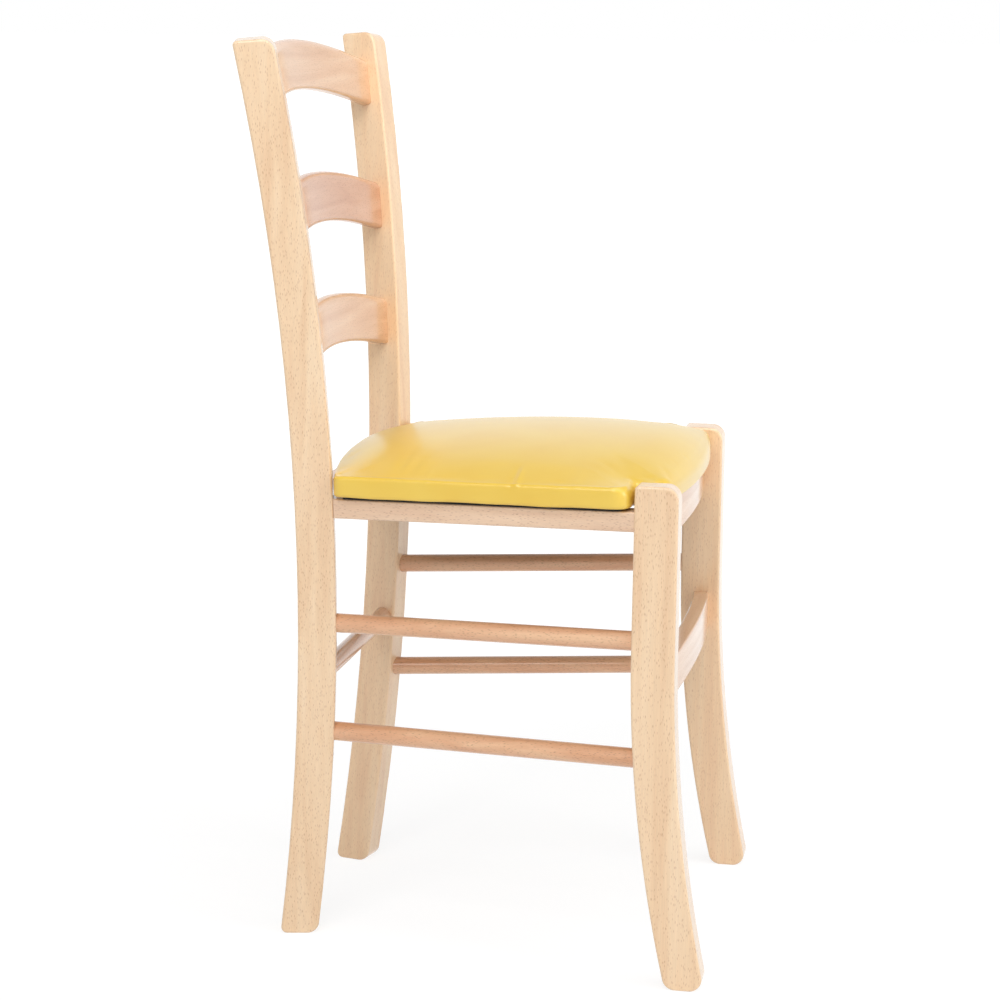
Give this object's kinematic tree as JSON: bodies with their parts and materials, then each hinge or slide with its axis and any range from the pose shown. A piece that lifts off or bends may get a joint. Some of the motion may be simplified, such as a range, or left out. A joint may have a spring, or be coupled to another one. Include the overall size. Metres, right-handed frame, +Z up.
{
  "type": "upholstered ladder-back dining chair",
  "caption": "Beech dining chair with splayed curved rear posts, arched back slats, round stretchers and a padded leathercloth seat.",
  "frame": {"origin": "on the floor, under the centre of the chair's bounding box", "axes": "+Z up, the front of the seat faces -Y, +X is the sitter's left"},
  "size_m": [0.4376, 0.4555, 0.8756],
  "materials": {
    "beech": "clear satin lacquer",
    "plywood": "raw",
    "foam": "open cell",
    "leathercloth": "satin embossed",
    "black_cloth": "matt non-woven",
    "steel": "zinc plated"
  },
  "bodies": {
    "root": {"rear_post_right": "beech", "rear_post_left": "beech", "front_leg_right": "beech", "front_leg_left": "beech", "back_slat_bottom": "beech", "back_slat_middle": "beech", "back_slat_top": "beech", "side_stretcher_upper_right": "beech", "side_stretcher_upper_left": "beech", "side_stretcher_lower_right": "beech", "side_stretcher_lower_left": "beech", "rear_stretcher": "beech", "front_stretcher": "beech", "front_seat_rail": "beech", "rear_seat_rail": "beech", "side_seat_rail_right": "beech", "side_seat_rail_left": "beech", "seat_board": "plywood", "seat_foam": "foam", "seat_cover": "leathercloth", "dust_cover": "black_cloth", "seat_screws": "steel", "cover_staples": "steel"}
  },
  "joints": []
}
